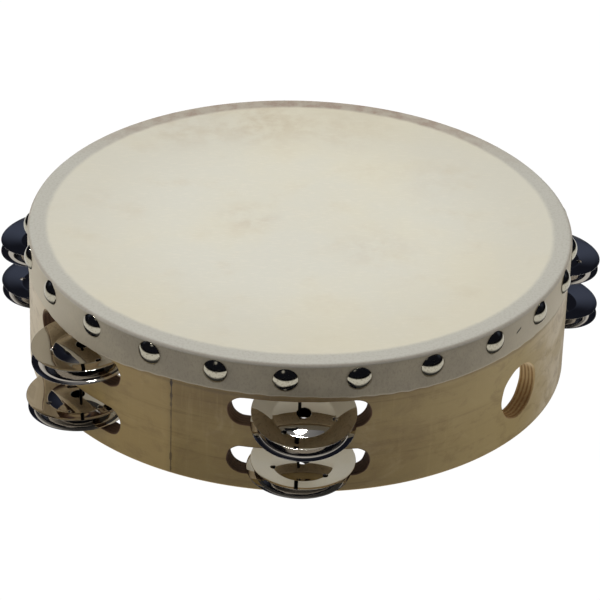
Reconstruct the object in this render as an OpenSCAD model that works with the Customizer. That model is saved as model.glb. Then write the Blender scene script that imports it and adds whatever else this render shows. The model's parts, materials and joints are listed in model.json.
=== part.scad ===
// Tambourine: a bent plywood hoop with a tacked skin head and six stations of jingles in two rows.
// Millimetres. The origin is the centre of the hoop's bottom edge, +Z is up, towards the head.
// Angles round the hoop are counted from -Y, positive towards +X.

/* [Hoop] */
// Outer radius of the wooden hoop
hoop_r = 126.6; // [124:0.1:130]
// Thickness of the bent plywood wall
wall = 8.5; // [8:0.1:9.5]
// Height of the hoop
hoop_h = 66.2; // [65:0.1:70]
// Radius worn on the hoop's edges
edge_r = 1.4; // [0.8:0.1:2.5]
// Radius of the finger hole
finger_r = 13.2; // [11:0.1:14]
// Height of the finger hole's centre
finger_z = 24.8; // [22:0.1:26]
// Angle of the finger hole round the hoop
finger_angle = 53.8; // [52:0.1:55]

/* [Slots] */
// Height of each slot
slot_h = 13.4; // [13:0.1:14]
// Half of the angle that a slot takes, its round ends included
slot_half = 14.4; // [14:0.1:15]
// Bottom of the lower row of slots
lower_floor = 8.5; // [8:0.1:9]
// Bottom of the upper row of slots
upper_floor = 33.6; // [33:0.1:34]

/* [Head] */
// Thickness of the skin
skin_t = 0.6; // [0.4:0.1:0.8]
// Height of the hem where the skin's collar ends on the hoop
collar_z = 50; // [49:0.1:51]
// Middle height of the row of tacks
tack_z = 59.3; // [59:0.1:60]
// Radius of a tack's domed head
tack_r = 5.8; // [4.8:0.1:6]
// How far a tack's head stands out of the collar
tack_dome = 2.7; // [2.3:0.1:3.2]
// Radius of a tack's shank
shank_r = 0.7; // [0.6:0.05:0.9]

/* [Jingles] */
// Rim radius of a jingle
jingle_r = 23.4; // [22.5:0.1:23.5]
// Radius of the trough between the dome and the brim
trough_r = 13.8; // [13:0.1:14.5]
// Depth of the trough under the rim
trough_h = 2.4; // [2.2:0.05:2.4]
// How far the dome's top lies under the rim
dome_drop = 0.6; // [0.4:0.05:0.8]
// Thickness of the jingle's sheet metal
sheet = 0.5; // [0.4:0.05:0.5]
// Radius of the jingle's centre hole
eye_r = 3.2; // [3.1:0.05:3.4]
// Radius of the three small holes in the trough
vent_r = 1.2; // [0.8:0.1:1.4]
// Radius of a jingle pin
pin_r = 0.75; // [0.6:0.05:0.8]

/* [Hidden] */
$fn = 96;
over = 1;
pin_ring = hoop_r - wall / 2 + 0.4;
pin_top = 58;
pin_head_r = 1.8;
pin_head_h = 1;
tack_shank = 6;
tack_count = 24;
inner_r = hoop_r - wall;
stations = [1.2, -52.4, -103.4, -155, 153.4, 101.8];
rows = ["lower", "upper"];
row_floor = [lower_floor, upper_floor];

// How each jingle lies at rest: [along the slot, outwards, height of the rim over the slot's floor,
// tilt outwards, tilt along the slot, turn about its own middle]. Station by station, the lower row's
// under and over jingles, then the upper row's. The two stations at the back lie like those beside them.
front_rest = [
    [[[0.4, -1.3, 1.2, 2.8, -0.5, 10], [2.2, 0.4, 7.3, 3, 0, -74]],
     [[1.8, 1.3, 0.75, 12.3, 0.5, 25], [2.0, 0.9, 6.95, 12.5, 0.2, -39]]],
    [[[-1.9, -0.4, 0.75, 2, 0.5, 50], [-2.1, 0.4, 6.7, 2.1, 0.5, -15]],
     [[2.2, 0.2, 3.2, 5.5, 1, 0], [0.6, -0.8, 9.25, 5.5, 0.8, -34]]],
    [[[-0.7, 0.2, 2.6, 2.6, 0, 15], [0.7, 0, 8.55, 2.8, 0, 5]],
     [[1.2, 0.2, 1.95, 8.5, -0.5, 75], [0.9, 0.2, 7.9, 8.5, -0.5, 65]]],
];
side_rest =
    [[[-1.2, 0.4, 4.75, 8.7, 0.25, 95], [-2.1, 0, 10.8, 8.8, 0.25, 40]],
     [[1.4, 0, 2.0, 6.5, 0, 30], [-0.1, 0.1, 8.0, 6.8, 0, 100]]];
resting = [front_rest[0], front_rest[1], front_rest[2], front_rest[1], front_rest[2], side_rest];

function jingle_name(s, row, k) = str("jingle_", s + 1, "_", rows[row], k == 0 ? "_under" : "_over");
jingle_names = [for (s = [0:5]) for (row = [0:1]) for (k = [0:1]) jingle_name(s, row, k)];
pin_names = [for (s = [0:5]) str("pin_", s + 1)];

// Puts what is drawn facing -Y at the middle of the hoop onto the angle round the hoop
module at_angle(angle) rotate([0, 0, angle]) children();

// A rod lying along Y, from the outside inwards
module radial_rod(r, from_r, to_r, z) translate([0, -from_r, z]) rotate([-90, 0, 0])
    cylinder(r = r, h = from_r - to_r);

// Half the cross-section of a drum of radius r from z0 up to z1, with a rounded top edge
module drum_section(r, z0, z1, round_r) {
    translate([0, z0]) square([r, z1 - z0 - round_r]);
    translate([0, z0]) square([r - round_r, z1 - z0]);
    translate([r - round_r, z1 - round_r]) circle(r = round_r);
}

// The cut that makes one slot: flat floor and ceiling, round ends, square to the hoop
module slot_cut(floor_z) {
    end_r = slot_h / 2;
    end_angle = slot_half - asin(end_r / hoop_r);
    rotate([0, 0, -90 - end_angle]) rotate_extrude(angle = 2 * end_angle)
        translate([inner_r - 3, floor_z]) square([wall + 6, slot_h]);
    for (side = [-1, 1])
        at_angle(side * end_angle) radial_rod(end_r, hoop_r + 3, inner_r - 3, floor_z + end_r);
}

// The tacks are set by hand: angle and height wander a little round an even row
function even_angle(i) = i * 360 / tack_count;
function tack_angle(i) = even_angle(i) - 1.3 - 0.8 * cos(4 * even_angle(i) - 50);
function tack_height(i) = tack_z - 0.7 * cos(3 * even_angle(i) - 19);

// One pin: a nail with a small flat head let into the hoop's bottom edge
module pin_shape(r, head_r) {
    cylinder(r = r, h = pin_top);
    cylinder(r = head_r, h = pin_head_h);
}

module hoop() color("burlywood") difference() {
    rotate_extrude() difference() {
        drum_section(hoop_r, 0, hoop_h, edge_r);
        translate([0, -over]) square([inner_r, hoop_h + 2 * over]);
    }
    for (angle = stations, floor_z = row_floor) at_angle(angle) slot_cut(floor_z);
    for (angle = stations) at_angle(angle) translate([0, -pin_ring, 0]) pin_shape(pin_r, pin_head_r);
    at_angle(finger_angle) radial_rod(finger_r, hoop_r + 3, inner_r - 3, finger_z);
    for (i = [0:tack_count - 1])
        at_angle(tack_angle(i)) radial_rod(shank_r, hoop_r + 3, hoop_r - tack_shank, tack_height(i));
}

module head_skin() color("wheat") difference() {
    rotate_extrude() difference() {
        drum_section(hoop_r + skin_t, collar_z, hoop_h + skin_t, edge_r + skin_t);
        drum_section(hoop_r, collar_z - over, hoop_h, edge_r);
    }
    for (i = [0:tack_count - 1])
        at_angle(tack_angle(i)) radial_rod(shank_r, hoop_r + 5, hoop_r - 5, tack_height(i));
}

// A tack: a domed head seated flat against the collar, on a plain shank driven through the skin
module tack() {
    dome_ball = (tack_r * tack_r + tack_dome * tack_dome) / (2 * tack_dome);
    shank = skin_t + tack_shank;
    rotate([90, 0, 0]) rotate_extrude() {
        intersection() {
            translate([0, tack_dome - dome_ball]) circle(r = dome_ball);
            square([tack_r, tack_dome]);
        }
        translate([0, -shank]) square([shank_r, shank]);
    }
}

module tacks() color("silver") for (i = [0:tack_count - 1])
    at_angle(tack_angle(i)) translate([0, -hoop_r - skin_t, tack_height(i)]) tack();

module pin(s) color("gray") at_angle(stations[s]) translate([0, -pin_ring, 0])
    pin_shape(pin_r, pin_head_r);

// Height of a jingle's outer surface over its rim, at radius r
dome_rise = trough_h - dome_drop;
dome_sphere_r = (trough_r * trough_r + dome_rise * dome_rise) / (2 * dome_rise);
brim_slope = 12.9;
curl_r = jingle_r - 2.9;
curl_rise = trough_h - tan(brim_slope) * (jingle_r - trough_r);
function jingle_height(r) = r < trough_r
    ? -dome_drop - dome_sphere_r + sqrt(pow(dome_sphere_r, 2) - r * r)
    : -trough_h + tan(brim_slope) * (r - trough_r) + curl_rise * pow(max(0, r - curl_r) / (jingle_r - curl_r), 2);

// A jingle, rim plane at Z = 0 and dome upwards: a spherical dome, a rising brim and a curled rim
module jingle_shape() {
    steps = 8;
    curl_steps = 3;
    radii = concat([for (i = [0:steps - 1]) eye_r + (trough_r - eye_r) * i / steps],
                   [trough_r], [for (i = [0:curl_steps]) curl_r + (jingle_r - curl_r) * i / curl_steps]);
    top = [for (r = radii) [r, jingle_height(r)]];
    bottom = [for (i = [len(radii) - 1:-1:0]) [radii[i], jingle_height(radii[i]) - sheet]];
    difference() {
        rotate_extrude() polygon(concat(top, bottom));
        for (turn = [0:120:240]) rotate([0, 0, turn]) translate([0, -trough_r, -trough_h - 2])
            cylinder(r = vent_r, h = 4);
    }
}

// The under jingle of a pair hangs dome down, and the over jingle lies on its back, dome up
module jingle(s, row, k) {
    rest = resting[s][row][k];
    color(k == 0 ? "lightsteelblue" : "gainsboro") at_angle(stations[s])
        translate([rest[0], -pin_ring - rest[1], row_floor[row] + rest[2]])
        rotate([rest[3], 0, 0]) rotate([0, -rest[4], 0]) rotate([0, 0, rest[5]])
        mirror([0, 0, 1 - k]) jingle_shape();
}

hoop();
head_skin();
tacks();
for (s = [0:5]) {
    pin(s);
    for (row = [0:1]) for (k = [0:1])
        jingle(s, row, k);
}
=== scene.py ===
"""Looks of the tambourine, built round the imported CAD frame.

Metres. The centre of the hoop's bottom edge is the origin and +Z points to the head.
Angles round the hoop are counted from -Y, positive towards +X.
"""

import json
import math

import bmesh
import bpy
import numpy as np
from mathutils import Matrix, Vector


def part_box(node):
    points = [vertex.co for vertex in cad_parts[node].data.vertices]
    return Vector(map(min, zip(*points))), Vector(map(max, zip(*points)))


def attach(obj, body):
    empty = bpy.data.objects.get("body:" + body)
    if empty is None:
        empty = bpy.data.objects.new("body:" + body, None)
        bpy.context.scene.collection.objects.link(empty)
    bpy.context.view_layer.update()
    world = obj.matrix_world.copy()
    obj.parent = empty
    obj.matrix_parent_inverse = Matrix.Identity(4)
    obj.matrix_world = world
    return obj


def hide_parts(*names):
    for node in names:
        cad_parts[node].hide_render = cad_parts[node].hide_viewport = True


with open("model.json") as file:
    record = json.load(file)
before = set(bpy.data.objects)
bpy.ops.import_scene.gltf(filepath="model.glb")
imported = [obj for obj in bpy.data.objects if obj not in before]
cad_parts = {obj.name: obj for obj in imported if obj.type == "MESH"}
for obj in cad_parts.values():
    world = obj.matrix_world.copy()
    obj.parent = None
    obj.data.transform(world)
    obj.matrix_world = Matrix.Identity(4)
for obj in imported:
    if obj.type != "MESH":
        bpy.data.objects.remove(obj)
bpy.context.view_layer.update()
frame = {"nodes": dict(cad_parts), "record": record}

MM = 0.001

# ---------------------------------------------------------------- sizes from the frame
hoop_low, hoop_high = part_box("hoop")
HOOP_R = (hoop_high.x - hoop_low.x) / 2
HOOP_H = hoop_high.z
skin_low, skin_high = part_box("head_skin")
SKIN_R = (skin_high.x - skin_low.x) / 2
SKIN_T = SKIN_R - HOOP_R
TACK_Z = 59.3 * MM
TACK_R = 5.8 * MM
finger = next(m for m in frame["record"]["mounts"] if m["name"] == "finger_hole")
WALL = finger["dims"]["length_mm"] * MM
FINGER_R = finger["dims"]["r_mm"] * MM
FINGER_Z = finger["pos_m"][2]
FINGER_ANGLE = math.atan2(finger["axis"][0], -finger["axis"][1])
INNER_R = HOOP_R - WALL
STATIONS = range(1, 7)


def node_angle(node):
    """Angle round the hoop of a CAD node's middle."""
    low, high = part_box(node)
    return math.atan2(low.x + high.x, -(low.y + high.y))


# ---------------------------------------------------------------- sizes of the looks
# Wear on the hoop's edges
EDGE_WEAR = 0.6 * MM
TOP_WEAR = 1.4 * MM
# Slots, and the patches of cells round them
SLOT_H = 13.4 * MM
SLOT_FLOORS = (8.5 * MM, 33.6 * MM)
SLOT_HALF_ANGLE = math.radians(14.4)
SLOT_EDGE = 0.5 * MM
PATCH_HALF_ANGLE = math.radians(17.5)
PATCH_ROWS_Z = (4.0 * MM, 27.75 * MM, 51.5 * MM)
# The glued seam of the bent plywood
SEAM_ANGLE = math.radians(-25.4)
SEAM_HALF_WIDTH = math.radians(0.13)
SEAM_DEPTH = 0.25 * MM
TACK_DOME = 2.7 * MM
TACK_COUNT = 24
# A jingle: rim, trough round the dome, how far the dome's top lies under the rim, brim, sheet, eye and vents
JINGLE_R = 23.4 * MM
TROUGH_R = 13.8 * MM
TROUGH_H = 2.4 * MM
DOME_DROP = 0.6 * MM
BRIM_RISE = math.tan(math.radians(12.9))
SHEET = 0.5 * MM
EYE_R = 3.2 * MM
VENT_R = 1.2 * MM
# Where the brim starts to curl
CURL_R = JINGLE_R - 2.9 * MM
# Height of the collar's lower edge in the CAD frame
COLLAR_Z = 50 * MM
# A small nick in the collar
NICK_ANGLE = math.radians(51.5)
NICK_Z = 59.2 * MM
# Height of the collar's hem round the hoop: (degrees, millimetres)
HEM = [(-180, 49.2), (-120, 49.6), (-90, 49.4), (-64, 48.3), (-56, 46.9), (-39, 47.6), (-27, 50.0),
       (3, 50.1), (15, 49.0), (28, 48.5), (40, 49.2), (57, 49.9), (72, 49.9), (110, 49.3), (150, 49.7)]


# ---------------------------------------------------------------- mesh tools
def ripple(seed, turns, strength):
    """A smooth closed function of an angle and a height, made of a few seeded waves."""
    draw = np.random.default_rng(seed)
    count = 6
    waves = draw.integers(turns[0], turns[1] + 1, count)
    phases = draw.uniform(0, 2 * math.pi, count)
    slants = draw.uniform(-80, 80, count)
    sizes = draw.uniform(0.4, 1.0, count) * strength / math.sqrt(count)

    def value(angle, height=0.0):
        total = 0.0
        for wave, phase, slant, size in zip(waves, phases, slants, sizes):
            total = total + size * np.sin(wave * angle + phase + slant * height)
        return total

    return value


def rounding(edge, thickness, steps=3):
    """Points of a rounded edge from one face to the other: (how far it stands out, depth from face 0)."""
    arc = [math.pi / 2 * k / steps for k in range(1, steps + 1)]
    first = [(edge * math.sin(a), edge * (1 - math.cos(a))) for a in arc]
    middle = [(edge, thickness * k) for k in (0.35, 0.65)] if thickness > 3 * edge else []
    last = [(out, thickness - depth) for out, depth in reversed(first)]
    if thickness <= 2 * edge * 1.001:
        last = last[1:]
    return first + middle + last


def lines(marks, step):
    """Values from the first mark to the last that hold every mark, at most step apart."""
    out = [marks[0]]
    for low, high in zip(marks, marks[1:]):
        count = max(1, math.ceil((high - low) / step - 1e-6))
        out += [low + (high - low) * k / count for k in range(1, count + 1)]
    return out


class Hole:
    """A round-ended hole through a band, and the patch of cells that makes room for it."""

    def __init__(self, angle, across, half, radius, patch_angle, patch_across, scale, edge, tag, wobble=0):
        self.angle = angle
        self.across = across
        self.half = half
        self.radius = radius
        self.angles = (angle - patch_angle, angle + patch_angle)
        self.patch_across = patch_across
        self.scale = scale
        self.edge = edge
        self.tag = tag
        self.wobble = ripple(round(abs(angle + across) * 1e4), (3, 9), wobble)

    def rim(self, angle, across, out, scale):
        """The rim's point nearest to a point of the patch's border, moved outwards by out."""
        reach = (angle - self.angle) * self.scale
        straight = max(-self.half, min(self.half, reach))
        dx, dy = reach - straight, across - self.across
        length = math.hypot(dx, dy)
        radius = self.radius + out + float(self.wobble(math.atan2(dy, dx), straight * 10))
        turn = self.angle + straight / self.scale + dx / length * radius / scale
        return turn, self.across + dy / length * radius


class Band:
    """A closed sheet bent into a ring: columns of angles, rows across it, two faces and rounded edges."""

    def __init__(self, columns, rows, thickness, edges, scales, holes=(), middle=False, steps=3):
        self.points = []
        self.faces = []
        self.tags = []
        self.thickness = thickness
        self.steps = steps
        self.scales = scales
        count = len(columns)
        grid = [[[self.add(a, r, side) for r in rows] for a in columns] for side in (0, 1)]
        taken = set()
        for hole in holes:
            self.cut(hole, columns, rows, grid, taken)
        for side in (0, 1):
            for i in range(count):
                here, there = grid[side][i], grid[side][(i + 1) % count]
                for j in range(len(rows) - 1):
                    if (i, j) not in taken:
                        self.face([here[j], there[j], there[j + 1], here[j + 1]], "face")
        for end, sign, edge in ((0, -1, edges[0]), (-1, 1, edges[1])):
            if end == 0 and middle:
                for side in (0, 1):
                    centre = self.add(0, 0, side)
                    for i in range(count):
                        self.face([centre, grid[side][i][0], grid[side][(i + 1) % count][0]], "face")
                continue
            loops = [[grid[0][i][end] for i in range(count)]]
            for out, depth in rounding(edge, thickness, steps):
                loops.append([self.add(a, rows[end] + sign * out, depth / thickness) for a in columns])
            loops.append([grid[1][i][end] for i in range(count)])
            self.join(loops, "edge")

    def add(self, angle, across, depth):
        self.points.append((angle, across, depth))
        return len(self.points) - 1

    def face(self, corners, tag):
        self.faces.append(corners)
        self.tags.append(tag)

    def join(self, loops, tag):
        """Quads between neighbouring closed loops of points."""
        for one, two in zip(loops, loops[1:]):
            for k in range(len(one)):
                n = (k + 1) % len(one)
                self.face([one[k], one[n], two[n], two[k]], tag)

    def cut(self, hole, columns, rows, grid, taken):
        """Leaves out the cells of a hole's patch and lays rings of quads from its border into the hole."""
        near = 1e-6
        i0, i1 = (min(range(len(columns)), key=lambda i: abs(columns[i] - a)) for a in hole.angles)
        j0, j1 = (min(range(len(rows)), key=lambda j: abs(rows[j] - r)) for r in hole.patch_across)
        assert abs(columns[i0] - hole.angles[0]) < near and abs(rows[j1] - hole.patch_across[1]) < near
        taken.update((i, j) for i in range(i0, i1) for j in range(j0, j1))
        border = [(i, j0) for i in range(i0, i1)] + [(i1, j) for j in range(j0, j1)]
        border += [(i, j1) for i in range(i1, i0, -1)] + [(i0, j) for j in range(j1, j0, -1)]
        guard = 0.4 * hole.edge
        face_loops = []
        for side in (0, 1):
            loops = [[grid[side][i][j] for i, j in border]]
            # Share of the way from the border to the rim, and how far outside the rim that ends
            for share, extra in ((0.3, 0), (0.6, 0), (0.85, 0), (1, guard), (1, 0)):
                loop = []
                for i, j in border:
                    rim = hole.rim(columns[i], rows[j], hole.edge + extra, self.scales[side])
                    loop.append(self.add(columns[i] + (rim[0] - columns[i]) * share,
                                         rows[j] + (rim[1] - rows[j]) * share, side))
                loops.append(loop)
            self.join(loops, "face")
            face_loops.append(loops[-1])
        tunnel = [face_loops[0]]
        for out, depth in rounding(hole.edge, self.thickness, self.steps):
            share = depth / self.thickness
            scale = self.scales[0] + (self.scales[1] - self.scales[0]) * share
            loop = []
            for i, j in border:
                rim = hole.rim(columns[i], rows[j], hole.edge - out, scale)
                loop.append(self.add(rim[0], rim[1], share))
            tunnel.append(loop)
        tunnel.append(face_loops[1])
        self.join(tunnel, hole.tag)

    def build(self, name, place, materials, exact_normals=False):
        """The band as an object: place turns arrays of angle, across and depth into points."""
        used = np.unique(np.concatenate([np.array(f) for f in self.faces]))
        renumber = np.full(len(self.points), -1)
        renumber[used] = np.arange(len(used))
        flat = np.array(self.points, float)[used]
        points = place(flat[:, 0], flat[:, 1], flat[:, 2])
        mesh = bpy.data.meshes.new(name)
        mesh.from_pydata(points.tolist(), [], [[int(renumber[c]) for c in f] for f in self.faces])
        tags = list(materials)
        for tag in tags:
            if materials[tag].name not in mesh.materials:
                mesh.materials.append(materials[tag])
        slots = {tag: mesh.materials.find(materials[tag].name) for tag in tags}
        mesh.polygons.foreach_set("material_index", [slots[t] for t in self.tags])
        across = mesh.attributes.new("across", "FLOAT", "POINT")
        across.data.foreach_set("value", flat[:, 1].astype(np.float32))
        finish_mesh(mesh)
        if exact_normals:
            self.set_normals(mesh, place, flat)
        return link(name, mesh)

    def set_normals(self, mesh, place, flat):
        """Normals of the true surface on both faces, so that polished metal reflects smoothly."""
        angle, across, depth = flat.T
        turn, nudge, tiny = 1e-4, 1e-6, 1e-20
        along = place(angle + turn, across, depth) - place(angle - turn, across, depth)
        over = place(angle, across + nudge, depth) - place(angle, across - nudge, depth)
        normal = np.cross(along, over)
        normal /= np.maximum(np.linalg.norm(normal, axis=1), tiny)[:, None]
        built = np.zeros(len(normal) * 3)
        mesh.vertices.foreach_get("normal", built)
        built = built.reshape(-1, 3)
        normal *= np.sign((normal * built).sum(1))[:, None]
        # A zero normal leaves the smooth one in place, on the rounded edges
        normal[(depth != 0) & (depth != 1)] = 0
        mesh.normals_split_custom_set_from_vertices(normal.tolist())


def finish_mesh(mesh):
    """Smooth faces that all point outwards."""
    work = bmesh.new()
    work.from_mesh(mesh)
    bmesh.ops.recalc_face_normals(work, faces=work.faces)
    for f in work.faces:
        f.smooth = True
    work.to_mesh(mesh)
    work.free()
    mesh.update()


def link(name, mesh):
    piece = bpy.data.objects.new(name, mesh)
    bpy.context.scene.collection.objects.link(piece)
    return piece


def round_the_hoop(radius, angle, z):
    """Points at a radius, an angle and a height."""
    return np.stack([radius * np.sin(angle), -radius * np.cos(angle), z + 0 * angle], -1)


# ---------------------------------------------------------------- material tools
def plug(tree, socket, value):
    """Links a socket to another node's output, or sets it to a plain value."""
    if isinstance(value, bpy.types.NodeSocket):
        tree.links.new(value, socket)
    else:
        socket.default_value = value


def tree_node(tree, kind, inputs=None, **settings):
    made = tree.nodes.new(kind)
    for key, value in settings.items():
        setattr(made, key, value)
    for key, value in (inputs or {}).items():
        plug(tree, made.inputs[key], value)
    return made


def tree_math(tree, operation, a, b=0.0):
    return tree_node(tree, "ShaderNodeMath", {0: a, 1: b}, operation=operation).outputs[0]


def tree_step(tree, value, low, high):
    """0 below low, 1 above high, smooth between them. With low above high it falls instead."""
    falls = low > high
    made = tree_node(tree, "ShaderNodeMapRange", {
        "Value": value, "From Min": min(low, high), "From Max": max(low, high),
        "To Min": 1.0 if falls else 0.0, "To Max": 0.0 if falls else 1.0},
        interpolation_type="SMOOTHSTEP")
    return made.outputs["Result"]


class Look:
    """A material under construction. Most methods add a node or two and return an output socket."""

    def __init__(self, name):
        self.material = bpy.data.materials.new(name)
        self.material.use_nodes = True
        self.tree = self.material.node_tree
        self.shader = self.tree.nodes["Principled BSDF"]
        self.place = self.node("ShaderNodeTexCoord").outputs["Object"]
        split = self.node("ShaderNodeSeparateXYZ", {0: self.place})
        self.x, self.y, self.z = split.outputs

    def node(self, kind, inputs=None, **settings):
        return tree_node(self.tree, kind, inputs, **settings)

    def math(self, operation, a, b=0.0):
        return tree_math(self.tree, operation, a, b)

    def add(self, a, b):
        return self.math("ADD", a, b)

    def times(self, a, b):
        return self.math("MULTIPLY", a, b)

    def step(self, value, low, high):
        return tree_step(self.tree, value, low, high)

    def between(self, value, low, high, soft):
        """1 between low and high, with soft flanks."""
        rise = self.step(value, low - soft, low + soft)
        return self.times(rise, self.step(value, high + soft, high - soft))

    def mix(self, share, a, b):
        """A share of colour b over colour a. The node's colour sockets are inputs 6 and 7 and output 2."""
        return self.node("ShaderNodeMix", {0: share, 6: a, 7: b}, data_type="RGBA").outputs[2]

    def tinted(self, base, where, share, tint):
        """A base colour with a share of a tint over it wherever a mask is 1."""
        return self.mix(self.times(where, share), base, colour(*tint))

    def stretched(self, x, y, z):
        return self.node("ShaderNodeMapping", {"Vector": self.place, "Scale": (x, y, z)}).outputs[0]

    def noise(self, scale, detail=3.0, rough=0.5, place=None, distortion=0.0):
        made = self.node("ShaderNodeTexNoise", {
            "Vector": self.place if place is None else place, "Scale": scale,
            "Detail": detail, "Roughness": rough, "Distortion": distortion})
        return made.outputs["Fac"]

    def radius(self):
        flat = self.node("ShaderNodeCombineXYZ", {0: self.x, 1: self.y}).outputs[0]
        return self.node("ShaderNodeVectorMath", {0: flat}, operation="LENGTH").outputs["Value"]

    def angle(self):
        return self.math("ARCTAN2", self.x, self.times(self.y, -1.0))

    def near(self, x, y, reach):
        """1 at a place seen from above, falling to 0 at reach."""
        spot = self.node("ShaderNodeCombineXYZ", {0: self.x, 1: self.y}).outputs[0]
        gap = self.node("ShaderNodeVectorMath", {0: spot, 1: (x, y, 0)}, operation="DISTANCE")
        return self.step(gap.outputs["Value"], reach, 0.0)

    def bump(self, height, distance, strength=1.0, normal=None):
        inputs = {"Height": height, "Distance": distance, "Strength": strength}
        if normal is not None:
            inputs["Normal"] = normal
        return self.node("ShaderNodeBump", inputs).outputs[0]

    def finish(self, **sockets):
        for key, value in sockets.items():
            plug(self.tree, self.shader.inputs[key.replace("_", " ")], value)
        return self.material


def colour(red, green, blue):
    """A linear colour from the usual 0 to 255 values."""
    shares = [c / 255 for c in (red, green, blue)]
    return tuple(((c + 0.055) / 1.055) ** 2.4 if c > 0.04 else c / 12.92 for c in shares) + (1,)


# ---------------------------------------------------------------- materials
def wood_colour(look):
    """Plywood's face veneer: long grain, short flecks, blotches, painted light on the sides and the dark
    glued seam.
    """
    grain = look.noise(1.0, 6, 0.62, look.stretched(14, 14, 420), 0.4)
    broad = look.noise(1.0, 3, 0.5, look.stretched(9, 9, 45))
    flecks = look.noise(1.0, 4, 0.6, look.stretched(420, 420, 24))
    base = look.mix(look.step(broad, 0.35, 0.68), colour(150, 126, 72), colour(136, 111, 61))
    base = look.tinted(base, look.step(grain, 0.48, 0.72), 0.45, (108, 82, 42))
    base = look.tinted(base, look.step(flecks, 0.52, 0.72), 0.3, (172, 146, 92))
    blotches = look.noise(1.0, 6, 0.68, look.stretched(30, 30, 42), 0.9)
    base = look.tinted(base, look.step(blotches, 0.5, 0.68), 0.35, (186, 164, 118))
    base = look.tinted(base, look.step(blotches, 0.48, 0.32), 0.35, (118, 94, 52))
    # Darker towards the bottom edge: painted shade.
    base = look.tinted(base, look.step(look.z, 0.024, 0.0), 0.25, (98, 80, 44))
    # Paler towards the right side: painted light from the right lamp.
    pale = look.step(look.x, 0.005, 0.105)
    base = look.tinted(base, pale, 0.75, (187, 164, 109))
    angle = look.angle()
    # Paler on the left of the seam: partly the veneer's own tone, partly painted light from the left lamp.
    left = look.step(angle, SEAM_ANGLE + 0.002, SEAM_ANGLE - 0.002)
    left = look.times(left, look.step(angle, -2.9, -1.9))
    base = look.tinted(base, left, 0.6, (177, 150, 93))
    # Much paler at the far left: painted light grazing the hoop from the left.
    painted_light_far_left = look.step(look.x, -0.095, -0.125)
    base = look.tinted(base, painted_light_far_left, 0.9, (232, 218, 192))
    # Much paler at the far right, broken up by the blotches: painted light grazing the hoop from the right.
    painted_light_far_right = look.step(look.x, 0.100, 0.127)
    streaky_light_share = look.add(0.5, look.times(look.step(blotches, 0.4, 0.6), 0.5))
    base = look.tinted(base, painted_light_far_right, streaky_light_share, (226, 212, 186))
    mottling = look.noise(1.0, 6, 0.7, look.stretched(75, 75, 130), 0.5)
    base = look.tinted(base, look.step(mottling, 0.52, 0.34), 0.34, (126, 100, 60))
    base = look.tinted(base, look.step(grain, 0.56, 0.72), 0.12, (96, 72, 38))
    thin, wider = 0.0015, 0.006
    patchy = look.noise(1.0, 4, 0.6, look.stretched(60, 60, 160))
    seam_width = look.add(thin, look.times(look.step(patchy, 0.45, 0.75), wider))
    seam_gap = look.math("ABSOLUTE", look.math("SUBTRACT", angle, SEAM_ANGLE))
    seam = look.step(look.math("DIVIDE", seam_gap, seam_width), 1.6, 0.6)
    seam = look.times(seam, look.add(0.62, look.times(look.step(look.z, 0.034, 0.048), 0.35)))
    return look.mix(seam, base, colour(58, 46, 32)), grain, flecks


def wood_face():
    look = Look("plywood_face")
    base, grain, flecks = wood_colour(look)
    # A dark band just under the collar's hem: painted shadow of the collar.
    painted_shadow_under_hem = look.between(look.z, 0.0478, 0.0492, 0.0009)
    base = look.tinted(base, painted_shadow_under_hem, 0.35, (84, 66, 44))
    inside = look.step(look.radius(), INNER_R + 2 * MM, INNER_R + 1 * MM)
    base = look.tinted(base, inside, 0.4, (190, 160, 112))
    normal = look.bump(grain, 0.12 * MM, 0.6)
    normal = look.bump(flecks, 0.05 * MM, 0.4, normal)
    return look.finish(Base_Color=base, Roughness=look.add(0.42, look.times(grain, 0.2)),
                       Coat_Weight=0.12, Coat_Roughness=0.25, Normal=normal)


def wood_cut(name, light, dark, burnt, low_z, high_z):
    """A cut face: plies crossed by the cut, burnt towards the bottom of the hole, with painted light on
    faces that look down, such as the top of the hole.
    """
    look = Look(name)
    light, dark, burnt = (colour(*c) for c in (light, dark, burnt))
    ply_pair = 1.9 * MM
    warp = look.times(look.noise(90, 2), 1.2 * MM)
    plies = look.math("SINE", look.times(look.add(look.radius(), warp), 2 * math.pi / ply_pair))
    layer = look.step(plies, -0.5, 0.6)
    base = look.mix(layer, light, dark)
    burn = look.add(look.step(look.z, high_z, low_z), look.times(look.noise(70, 4, 0.6), 0.9))
    base = look.mix(look.times(look.step(burn, 0.55, 1.25), 0.55), base, burnt)
    # Cut faces that look down are painted pale: painted light.
    normal = look.node("ShaderNodeNewGeometry").outputs["Normal"]
    facing_up = look.node("ShaderNodeSeparateXYZ", {0: normal}).outputs[2]
    base = look.tinted(base, look.step(facing_up, -0.3, -0.8), 0.9, (222, 200, 160))
    fibres = look.noise(1.0, 3, 0.6, look.stretched(900, 900, 300))
    base = look.mix(look.times(look.step(fibres, 0.5, 0.7), 0.35), base, light)
    return look.finish(Base_Color=base, Roughness=0.72, Normal=look.bump(fibres, 0.2 * MM, 0.8))


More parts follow.
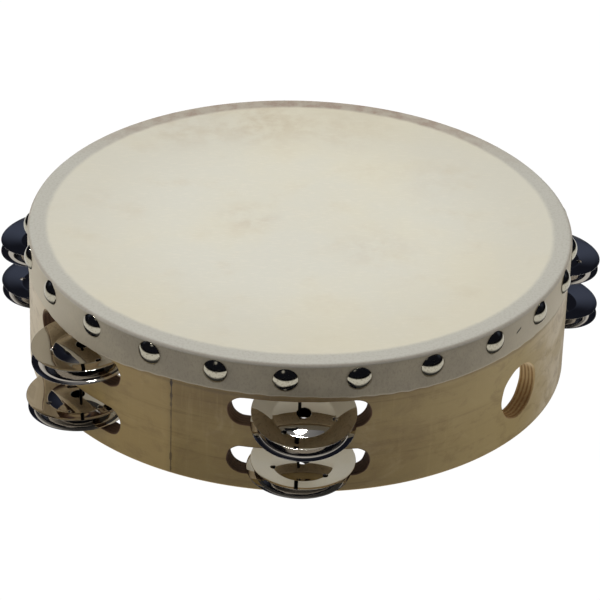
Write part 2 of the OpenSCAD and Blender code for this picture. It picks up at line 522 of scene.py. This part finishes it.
def skin():
    """Dried skin: cream and faintly mottled, paler where it lies on the hoop's edge, grey on its collar with
    painted light on the collar's sides.
    """
    look = Look("head_skin_dried")
    across = look.node("ShaderNodeAttribute", attribute_name="across").outputs["Fac"]
    broad = look.noise(11, 4, 0.55)
    patches = look.noise(46, 5, 0.6)
    fine = look.noise(900, 3, 0.6)
    weave = look.noise(1.0, 2, 0.5, look.stretched(260, 900, 400))
    base = look.mix(look.step(broad, 0.35, 0.7), colour(219, 217, 204), colour(224, 219, 199))
    base = look.tinted(base, look.step(patches, 0.52, 0.8), 0.35, (208, 197, 175))
    base = look.tinted(base, look.step(weave, 0.5, 0.72), 0.2, (238, 232, 216))
    for x, y, reach, strength in STAINS:
        spot = look.times(look.near(x, y, reach), look.step(look.noise(75, 5, 0.65), 0.36, 0.66))
        base = look.tinted(base, spot, strength, (176, 148, 112))
    rim_shade = look.step(across, 0.05, INNER_R)
    base = look.tinted(base, rim_shade, 0.3, (190, 182, 160))
    inner = look.add(across, look.times(look.noise(160, 4, 0.7), 1.6 * MM))
    on_edge = look.step(inner, INNER_R - 0.4 * MM, INNER_R + 2.4 * MM)
    back = look.step(look.y, 0.05, 0.118)
    mottle = look.step(look.noise(120, 4, 0.65), 0.38, 0.66)
    ring = look.mix(back, colour(189, 187, 177), colour(180, 171, 156))
    ring = look.tinted(ring, look.times(mottle, back), 0.65, (148, 124, 110))
    ring = look.tinted(ring, look.step(fine, 0.45, 0.65), 0.4, (168, 163, 150))
    base = look.mix(on_edge, base, ring)
    fold = HOOP_R - TOP_WEAR
    corner = look.between(across, fold + 1.1 * MM, fold + 2.4 * MM, 0.5 * MM)
    base = look.tinted(base, corner, 0.3, (142, 116, 90))
    cloth = look.noise(1.0, 4, 0.65, look.stretched(1100, 1100, 700))
    clouds = look.noise(55, 4, 0.6)
    collar = look.mix(look.step(clouds, 0.35, 0.7), colour(160, 150, 130), colour(172, 161, 138))
    collar = look.tinted(collar, look.step(cloth, 0.45, 0.7), 0.35, (128, 117, 106))
    # The collar is paler towards the left and right: painted light from the side lamps.
    side = look.step(look.math("ABSOLUTE", look.x), 0.07, 0.125)
    collar = look.tinted(collar, side, 0.75, (224, 213, 188))
    on_collar = look.step(across, fold + 2.0 * MM, fold + 3.2 * MM)
    base = look.mix(on_collar, base, collar)
    along = look.times(look.add(look.angle(), -NICK_ANGLE), SKIN_R)
    over = look.add(look.add(look.z, -NICK_Z), look.times(along, -0.5))
    nick = look.times(look.step(look.math("ABSOLUTE", along), 1.9 * MM, 1.3 * MM),
                      look.step(look.math("ABSOLUTE", over), 0.75 * MM, 0.3 * MM))
    base = look.tinted(base, nick, 0.9, (34, 28, 22))
    hem = look.step(across, HEM_ACROSS - 0.9 * MM, HEM_ACROSS - 0.25 * MM)
    base = look.tinted(base, hem, 0.6, (196, 184, 160))
    under = look.step(look.node("ShaderNodeNewGeometry").outputs["Backfacing"], 0.4, 0.6)
    base = look.tinted(base, under, 0.2, (200, 182, 150))
    normal = look.bump(patches, 0.25 * MM, 0.5)
    normal = look.bump(look.add(fine, look.times(cloth, on_collar)), 0.06 * MM, 0.8, normal)
    return look.finish(Base_Color=base, Roughness=look.add(0.5, look.times(patches, 0.2)),
                       Specular_IOR_Level=0.35, Normal=normal)


def polished(name, tint, dull, specks):
    """Polished nickel plate with faint smears, a little waviness and worn specks."""
    look = Look(name)
    smears = look.noise(160, 4, 0.6)
    pits = look.noise(1300, 3, 0.6)
    speck = look.times(look.step(pits, 0.66 - 0.15 * specks, 0.76), specks)
    base = look.mix(speck, tint, colour(104, 92, 74))
    rough = look.add(dull, look.times(look.step(smears, 0.5, 0.8), 0.06))
    rough = look.add(rough, look.times(speck, 0.25))
    normal = look.bump(look.noise(70, 2, 0.5), 0.08 * MM, 0.5)
    return look.finish(Base_Color=base, Metallic=1.0, Roughness=rough, Normal=normal)


def pin_steel():
    look = Look("pin_wire")
    drawn = look.noise(1.0, 3, 0.6, look.stretched(3000, 3000, 120))
    base = look.mix(look.step(drawn, 0.4, 0.7), colour(48, 46, 44), colour(28, 26, 25))
    return look.finish(Base_Color=base, Metallic=1.0, Roughness=look.add(0.28, look.times(drawn, 0.25)),
                       Normal=look.bump(drawn, 0.03 * MM, 0.6))


# ---------------------------------------------------------------- the hoop
def build_hoop():
    """The bent plywood hoop with its worn edges, round-ended slots, finger hole and glued seam."""
    row_marks = [EDGE_WEAR, 2 * EDGE_WEAR, *PATCH_ROWS_Z, HOOP_H - 3 * EDGE_WEAR, HOOP_H - EDGE_WEAR]
    row_step, column_step = 1.6 * MM, math.radians(1.25)
    slot_wobble, finger_wobble, wall_wobble = 0.12 * MM, 0.1 * MM, 0.12 * MM
    end_angle = SLOT_HALF_ANGLE - math.asin(SLOT_H / 2 / HOOP_R)
    holes = []
    spans = []
    for n in STATIONS:
        angle = node_angle(f"pin_{n}")
        spans.append((angle - PATCH_HALF_ANGLE, angle + PATCH_HALF_ANGLE))
        for floor, low, high in zip(SLOT_FLOORS, PATCH_ROWS_Z, PATCH_ROWS_Z[1:]):
            holes.append(Hole(angle, floor + SLOT_H / 2, end_angle * HOOP_R, SLOT_H / 2, PATCH_HALF_ANGLE,
                              (low, high), HOOP_R, SLOT_EDGE, "slot", slot_wobble))
    finger_patch = math.radians(9.5)
    spans.append((FINGER_ANGLE - finger_patch, FINGER_ANGLE + finger_patch))
    holes.append(Hole(FINGER_ANGLE, FINGER_Z, 0.0, FINGER_R, finger_patch,
                      (PATCH_ROWS_Z[0], PATCH_ROWS_Z[2]), HOOP_R, SLOT_EDGE, "finger", finger_wobble))
    marks = [m for span in spans for m in span]
    marks += [SEAM_ANGLE - SEAM_HALF_WIDTH, SEAM_ANGLE, SEAM_ANGLE + SEAM_HALF_WIDTH]
    marks = sorted(marks)
    columns = lines(marks + [marks[0] + 2 * math.pi], column_step)[:-1]
    rows = lines(row_marks, row_step)
    band = Band(columns, rows, WALL, (EDGE_WEAR, EDGE_WEAR), (HOOP_R, INNER_R), holes)
    waver = ripple(5, (2, 7), wall_wobble)

    def place(angle, across, depth):
        groove = np.maximum(0, 1 - np.abs(angle - SEAM_ANGLE) / SEAM_HALF_WIDTH) * SEAM_DEPTH * (depth == 0)
        drop = np.where(depth < 0.5, np.maximum(0, across - (HOOP_H - TOP_WEAR)), 0)
        worn = TOP_WEAR - np.sqrt(np.maximum(TOP_WEAR**2 - drop**2, 0))
        radius = HOOP_R - WALL * depth - groove - worn * (1 - depth) + waver(angle, across) * depth
        return round_the_hoop(radius, angle, across)

    cuts = {
        "edge": wood_cut("plywood_edge", (188, 160, 116), (142, 112, 74), (96, 70, 44), -0.2, -0.1),
        "slot": wood_cut("plywood_slot_cut", (112, 84, 62), (96, 70, 52), (62, 42, 31), 0.0, 0.05),
        "finger": wood_cut("plywood_finger_cut", (206, 178, 128), (160, 124, 78), (112, 74, 42),
                           0.008, 0.03)}
    hoop = band.build("hoop_wood", place, {"face": wood_face(), **cuts})
    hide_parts("hoop")
    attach(hoop, "frame")


# ---------------------------------------------------------------- the head
FOLD_R = TOP_WEAR + SKIN_T
FOLD_START = SKIN_R - FOLD_R
FOLD_LENGTH = FOLD_R * math.pi / 2
HEM_ACROSS = FOLD_START + FOLD_LENGTH + (HOOP_H - TOP_WEAR - COLLAR_Z)
# Old stains on the skin: (x, y, how far each reaches, strength)
STAINS = [(-0.022, 0.103, 0.040, 0.40), (-0.060, 0.090, 0.030, 0.28), (-0.024, 0.004, 0.020, 0.30),
          (0.035, -0.020, 0.030, 0.16), (0.020, 0.098, 0.035, 0.20), (-0.095, 0.020, 0.020, 0.10),
          (0.060, 0.050, 0.035, 0.10)]


def hem_height(angle):
    """Height of the collar's cut edge, through the hem's points and closed round the back."""
    turn = np.array([math.radians(a) for a, _ in HEM])
    tall = np.array([z for _, z in HEM]) * MM
    turn = np.concatenate([turn - 2 * math.pi, turn, turn + 2 * math.pi])
    tall = np.tile(tall, 3)
    blur = np.linspace(-0.09, 0.09, 7)
    angle = (np.asarray(angle) + math.pi) % (2 * math.pi) - math.pi
    return np.mean([np.interp(angle + b, turn, tall) for b in blur], axis=0)


def tack_angle(n):
    """Angle of a tack: one every 15 degrees, set by hand and so a little uneven."""
    even = 360 / TACK_COUNT * n
    return math.radians(even - 1.3 - 0.8 * math.cos(math.radians(4 * even - 50)))


def tack_height(n):
    """Height of a tack's middle: the row wanders a little up and down."""
    even = 360 / TACK_COUNT * n
    return TACK_Z - 0.7 * MM * math.cos(math.radians(3 * even - 19))


def build_head():
    """The skin: flat across the top, folded over the hoop's edge and tacked down as a collar."""
    fold_rows = 5
    column_step = math.radians(0.75)
    rows = lines([4 * MM, 30 * MM, 90 * MM], 6 * MM)
    rows += lines([96 * MM, INNER_R - 3 * MM], 4 * MM)
    rows += lines([INNER_R - 1 * MM, FOLD_START], 1.5 * MM)
    rows += [FOLD_START + FOLD_LENGTH * k / fold_rows for k in range(1, fold_rows + 1)]
    rows += lines([FOLD_START + FOLD_LENGTH + 0.8 * MM, HEM_ACROSS - SKIN_T / 2], 1.1 * MM)
    columns = lines([-math.pi, math.pi], column_step)[:-1]
    band = Band(columns, rows, SKIN_T, (SKIN_T / 2, SKIN_T / 2), (SKIN_R, HOOP_R), middle=True)
    frayed = ripple(21, (40, 120), 0.22 * MM)
    drape = ripple(22, (9, 26), 0.10 * MM)
    tacks = np.array([tack_angle(n) for n in range(TACK_COUNT)])
    tack_heights = np.array([tack_height(n) for n in range(TACK_COUNT)])
    top = HOOP_H - TOP_WEAR
    collar_length = HEM_ACROSS - FOLD_START - FOLD_LENGTH
    dimple_half_width, dimple_half_height, dimple_depth = 7 * MM, 5 * MM, 0.22 * MM
    sag_depth, sag_reach = 0.16 * MM, 5 * MM

    def place(angle, across, depth):
        inset = SKIN_T * depth
        fold = np.clip((across - FOLD_START) / FOLD_LENGTH, 0, 1) * math.pi / 2
        radius = np.minimum(across, FOLD_START) + (FOLD_R - inset) * np.sin(fold)
        height = top + (FOLD_R - inset) * np.cos(fold)
        down = np.maximum(across - FOLD_START - FOLD_LENGTH, 0)
        share = down / collar_length
        height -= share * (top - hem_height(angle) + share**2 * frayed(angle))
        gaps = np.abs((angle[:, None] - tacks + math.pi) % (2 * math.pi) - math.pi) * SKIN_R
        gap = gaps.min(1)
        level = height - tack_heights[gaps.argmin(1)]
        dimple = np.exp(-((gap / dimple_half_width) ** 2) - (level / dimple_half_height) ** 2)
        radius += (drape(angle, height) * share - dimple_depth * dimple * (share > 0)) * (1 - depth)
        sag = sag_depth * np.clip((INNER_R - across) / sag_reach, 0, 1)
        height -= sag * (share == 0)
        return round_the_hoop(radius, angle, height)

    material = skin()
    head = band.build("skin_head", place, {"face": material, "edge": material})
    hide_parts("head_skin")
    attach(head, "frame")


# ---------------------------------------------------------------- tacks
def build_tacks():
    """Upholstery tacks with domed heads, each a little turned, pressed against the collar."""
    ball = (TACK_R**2 + TACK_DOME**2) / (2 * TACK_DOME)
    widest = math.asin(TACK_R / ball)
    around, dome_rings = 40, 14
    slopes = [widest * k / dome_rings for k in range(1, dome_rings + 1)]
    dome = [(ball * math.sin(a), TACK_DOME - ball * (1 - math.cos(a))) for a in slopes]
    lip, lip_middle = 0.25 * MM, 0.09 * MM
    rolled = [(TACK_R + 0.02 * MM, -lip_middle), (TACK_R - 0.12 * MM, -lip),
              (TACK_R - 0.6 * MM, -lip_middle)]
    shank_r, shank_length = 0.7 * MM, 6.3 * MM
    shank = [(TACK_R * 0.5, 0.0), (shank_r, 0.0), (shank_r, -shank_length * 0.75)]
    profile = dome + rolled + shank
    lean_spread, pressed_in = 0.035, 0.05 * MM
    draw = np.random.default_rng(11)
    points, faces = [], []
    for n in range(TACK_COUNT):
        lean = draw.normal(0, lean_spread, 2)
        first = len(points)
        turn = tack_angle(n)
        outwards = Vector((math.sin(turn), -math.cos(turn), 0))
        side = Vector((math.cos(turn), math.sin(turn), 0))
        up = Vector((0, 0, 1))
        seat = outwards * (SKIN_R - pressed_in) + up * tack_height(n)
        out = (outwards + side * lean[0] + up * lean[1]).normalized()
        side = (side - out * side.dot(out)).normalized()
        up = out.cross(side)
        points.append(seat + out * TACK_DOME)
        for radius, height in profile:
            for k in range(around):
                a = 2 * math.pi * k / around
                points.append(seat + out * height + (side * math.cos(a) + up * math.sin(a)) * radius)
        points.append(seat - out * shank_length)
        last = len(points) - 1
        for k in range(around):
            n2 = (k + 1) % around
            faces.append([first, first + 1 + k, first + 1 + n2])
            for ring in range(len(profile) - 1):
                low = first + 1 + ring * around
                faces.append([low + k, low + around + k, low + around + n2, low + n2])
            low = first + 1 + (len(profile) - 1) * around
            faces.append([low + n2, low + k, last])
    mesh = bpy.data.meshes.new("tack_heads")
    mesh.from_pydata([tuple(p) for p in points], [], faces)
    mesh.materials.append(polished("tack_plate", colour(184, 178, 160), 0.1, 0.9))
    finish_mesh(mesh)
    tacks = link("tack_heads", mesh)
    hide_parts("tacks")
    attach(tacks, "frame")


# ---------------------------------------------------------------- jingles
def jingle_height(radius):
    """Height of a jingle's outer face over its rim: a dome, a rising brim and a curled rim."""
    tall = TROUGH_H - DOME_DROP
    ball = (TROUGH_R**2 + tall**2) / (2 * tall)
    dome = -DOME_DROP - ball + np.sqrt(np.maximum(ball**2 - radius**2, 0))
    brim = -TROUGH_H + BRIM_RISE * (radius - TROUGH_R)
    curl = np.clip((radius - CURL_R) / (JINGLE_R - CURL_R), 0, 1.1)
    rest = TROUGH_H - BRIM_RISE * (JINGLE_R - TROUGH_R)
    return np.where(radius < TROUGH_R, dome, brim + rest * curl**2)


def smooth_height(radius):
    """The same with the dome's crease a little rounded by the press tool."""
    spread = np.linspace(-0.25, 0.25, 7) * MM
    return np.mean([jingle_height(radius + s) for s in spread], axis=0)


def jingle_frame(node, upside_down):
    """Where a CAD jingle lies: a matrix with its rim's middle, its axis on the dome's side and its turn."""
    on_rim = 0.985
    co = np.array([v.co for v in frame["nodes"][node].data.vertices])
    middle = (co.max(0) + co.min(0)) / 2
    axis = np.linalg.svd(co - co.mean(0), full_matrices=False)[2][2]
    for _ in range(3):
        flat = (co - middle) - np.outer((co - middle) @ axis, axis)
        rim = co[np.linalg.norm(flat, axis=1) > JINGLE_R * on_rim]
        axis = np.linalg.svd(rim - rim.mean(0), full_matrices=False)[2][2]
        middle = (rim.max(0) + rim.min(0)) / 2
    axis *= np.sign(axis[2]) * (-1 if upside_down else 1)
    middle = middle + axis * (((rim - middle) @ axis).max())
    side = np.cross(axis, [0, 0, 1.0])
    side = side / np.linalg.norm(side) if np.linalg.norm(side) > 1e-6 else np.array([1.0, 0, 0])
    other = np.cross(axis, side)
    local = co - middle
    a, b = local @ side, local @ other
    reach = np.abs(np.hypot(a, b) - TROUGH_R)
    close = (reach < VENT_R * 1.05) & (reach > 0.02 * MM)
    turn = np.arctan2(b[close], a[close])
    vent = np.angle(np.exp(3j * turn).sum()) / 3
    x = side * math.cos(vent) + other * math.sin(vent)
    y = np.cross(axis, x)
    return Matrix([[x[k], y[k], axis[k], middle[k]] for k in range(3)] + [[0, 0, 0, 1]])


def build_jingle(node, seed, material):
    """A pressed jingle: dome, rising brim, curled rim, an eye for the pin and three vents."""
    step = math.radians(2.5)
    half_sheet = SHEET / 2
    patch_angle = 4 * step
    patch = (TROUGH_R - 2.4 * MM, TROUGH_R + 2.4 * MM)
    crease = (TROUGH_R - 0.25 * MM, TROUGH_R + 0.25 * MM)
    rows = lines([EYE_R + half_sheet, EYE_R + 0.6 * MM, patch[0], *crease, patch[1]], 0.8 * MM)
    rows += lines([patch[1], CURL_R, JINGLE_R - half_sheet], 0.6 * MM)[1:]
    vents = [math.radians(a) for a in (-120, 0, 120)]
    marks = sorted(v + s * patch_angle for v in vents for s in (-1, 1))
    columns = lines(marks + [marks[0] + 2 * math.pi], step)[:-1]
    edge = 0.15 * MM
    holes = [Hole(v, TROUGH_R, 0.0, VENT_R, patch_angle, patch, TROUGH_R, edge, "vent") for v in vents]
    band = Band(columns, rows, SHEET, (half_sheet, half_sheet), (TROUGH_R, TROUGH_R), holes, steps=4)
    bent = ripple(seed, (2, 4), 0.05 * MM)
    rim_thinning = 0.55

    def place(angle, across, depth):
        worn = 1 - rim_thinning * np.clip((across - CURL_R) / (JINGLE_R - CURL_R), 0, 1) ** 2
        height = smooth_height(across) - SHEET * depth * worn + bent(angle) * (across / JINGLE_R) ** 2
        return np.stack([across * np.cos(angle), across * np.sin(angle), height], -1)

    tags = {"face": material, "edge": material, "vent": material}
    jingle = band.build(node.replace("jingle", "nickel_jingle"), place, tags, exact_normals=True)
    jingle.matrix_world = jingle_frame(node, node.endswith("under"))
    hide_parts(node)
    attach(jingle, node)


# ---------------------------------------------------------------- floor, light and camera
def area_light(name, spot, aim, size, radiance, tint=(1, 1, 1)):
    """A soft lamp of a given brightness, aimed at a point. It doesn't show in polished metal."""
    data = bpy.data.lights.new(name, "AREA")
    data.shape = "RECTANGLE"
    data.size, data.size_y = size
    data.energy = radiance * math.pi * size[0] * size[1]
    data.color = tint
    lamp = bpy.data.objects.new(name, data)
    bpy.context.scene.collection.objects.link(lamp)
    lamp.location = spot
    lamp.visible_glossy = False
    lamp.rotation_euler = (Vector(aim) - Vector(spot)).to_track_quat("-Z", "Y").to_euler()


def toward(azimuth, elevation):
    """The direction of a point in the sky: azimuth 0 is +Y and positive turns to +X."""
    a, e = math.radians(azimuth), math.radians(elevation)
    return (math.sin(a) * math.cos(e), math.cos(a) * math.cos(e), math.sin(e))


def build_floor():
    """White paper. Only the part near the object lights it, and metal mirrors the shade under the object."""
    half = 4.0
    table_end, table_start = 0.50, 0.30
    shade_end, shade_start, shade_depth = 0.178, 0.148, 0.95
    seen_white, table_white = 1.02, 0.85
    mesh = bpy.data.meshes.new("floor")
    corners = [(-half, -half, 0), (half, -half, 0), (half, half, 0), (-half, half, 0)]
    mesh.from_pydata(corners, [], [[0, 1, 2, 3]])
    floor = link("floor", mesh)
    look = Look("white_paper")
    path = look.node("ShaderNodeLightPath")
    table = look.step(look.radius(), table_end, table_start)
    shade = look.times(look.step(look.radius(), shade_end, shade_start), path.outputs["Is Glossy Ray"])
    table = look.times(table, look.add(1.0, look.times(shade, -shade_depth)))
    fibres = look.add(0.98, look.times(look.noise(30, 2), 0.04))
    seen = look.times(path.outputs["Is Camera Ray"], seen_white)
    glow = look.math("MAXIMUM", seen, look.times(table, table_white))
    look.finish(Base_Color=(0, 0, 0, 1), Roughness=0.9, Specular_IOR_Level=0.0,
                Emission_Color=(1, 1, 1, 1), Emission_Strength=look.times(glow, fibres))
    mesh.materials.append(look.material)


SOFTBOX_TINT = (1.0, 0.99, 0.97)
DUSK_TINT = (0.7, 0.85, 1.3)
DARK_ROOM = (0.009, 0.010, 0.016)
# Glows of the room, in degrees: azimuth, elevation, radius of the even middle, radius of the rim.
# Then come the strength and the tint. The first is the softbox.
GLOWS = [(-12, 78, 3.9, 5.5, 108.0, SOFTBOX_TINT), (-12, 78, 8.0, 30.0, 0.2, SOFTBOX_TINT),
         (0, 40, 2.0, 26.0, 0.07, DUSK_TINT), (-70, 30, 4.0, 22.0, 0.07, DUSK_TINT),
         (75, 25, 4.0, 20.0, 0.06, DUSK_TINT), (-152, 48, 5.0, 14.0, 0.45, SOFTBOX_TINT)]


def build_sky():
    """A dark room with a round softbox overhead. The camera sees plain white behind the object."""
    world = bpy.data.worlds.new("dark_room")
    bpy.context.scene.world = world
    world.use_nodes = True
    tree = world.node_tree
    direction = tree_node(tree, "ShaderNodeTexCoord").outputs["Generated"]
    light = DARK_ROOM
    for azimuth, elevation, core, rim, power, tint in GLOWS:
        aim = {0: direction, 1: toward(azimuth, elevation)}
        dot = tree_node(tree, "ShaderNodeVectorMath", aim, operation="DOT_PRODUCT").outputs["Value"]
        angle = tree_math(tree, "ARCCOSINE", dot)
        inside = tree_step(tree, angle, math.radians(rim), math.radians(core))
        sums = {0: tint, 1: tree_math(tree, "MULTIPLY", inside, power), 2: light}
        light = tree_node(tree, "ShaderNodeVectorMath", sums, operation="MULTIPLY_ADD").outputs[0]
    room = tree.nodes["Background"]
    tree.links.new(light, room.inputs["Color"])
    pale = tree_node(tree, "ShaderNodeBackground", {"Color": (1, 1, 1, 1)})
    seen = tree_node(tree, "ShaderNodeLightPath").outputs["Is Camera Ray"]
    shaders = {0: seen, 1: room.outputs[0], 2: pale.outputs[0]}
    choose = tree_node(tree, "ShaderNodeMixShader", shaders)
    tree.links.new(choose.outputs[0], tree.nodes["World Output"].inputs["Surface"])


def build_lamps():
    """A wide soft lamp on each side, the left one brighter and the right one a little warmer."""
    middle = (0, 0, HOOP_H / 2)
    window = (2.6, 1.2)
    area_light("left_window", (-1.9, 0.15, 0.9), middle, window, 1.9)
    area_light("right_window", (1.9, 0.10, 0.9), middle, window, 1.15, (1.0, 0.97, 0.93))


def paint_pins():
    """The pins keep their CAD shape and only get their steel."""
    steel = pin_steel()
    for n in STATIONS:
        pin = frame["nodes"][f"pin_{n}"]
        pin.data.materials.clear()
        pin.data.materials.append(steel)


def build_jingles():
    material = polished("jingle_plate", colour(214, 210, 204), 0.035, 0.12)
    for seed, node in enumerate(sorted(n for n in frame["nodes"] if n.startswith("jingle"))):
        build_jingle(node, 100 + seed, material)


def build_camera():
    """A long lens, a little over 1.5 m away and 30 degrees up."""
    spot = Vector((0.00279, -1.34709, 0.81398))
    aim = Vector((0.00102, -0.00112, 0.02552))
    roll = math.radians(1.84)
    data = bpy.data.cameras.new("camera")
    data.lens = 197.76
    data.sensor_width = 36
    data.clip_start, data.clip_end = 0.05, 30
    camera = bpy.data.objects.new("camera", data)
    bpy.context.scene.collection.objects.link(camera)
    turn = (aim - spot).to_track_quat("-Z", "Y").to_matrix().to_4x4()
    camera.matrix_world = Matrix.Translation(spot) @ turn @ Matrix.Rotation(roll, 4, "Z")
    bpy.context.scene.camera = camera


bpy.context.scene.view_settings.view_transform = "Standard"
build_floor()
build_sky()
build_lamps()
build_camera()
build_hoop()
build_head()
build_tacks()
paint_pins()
build_jingles()
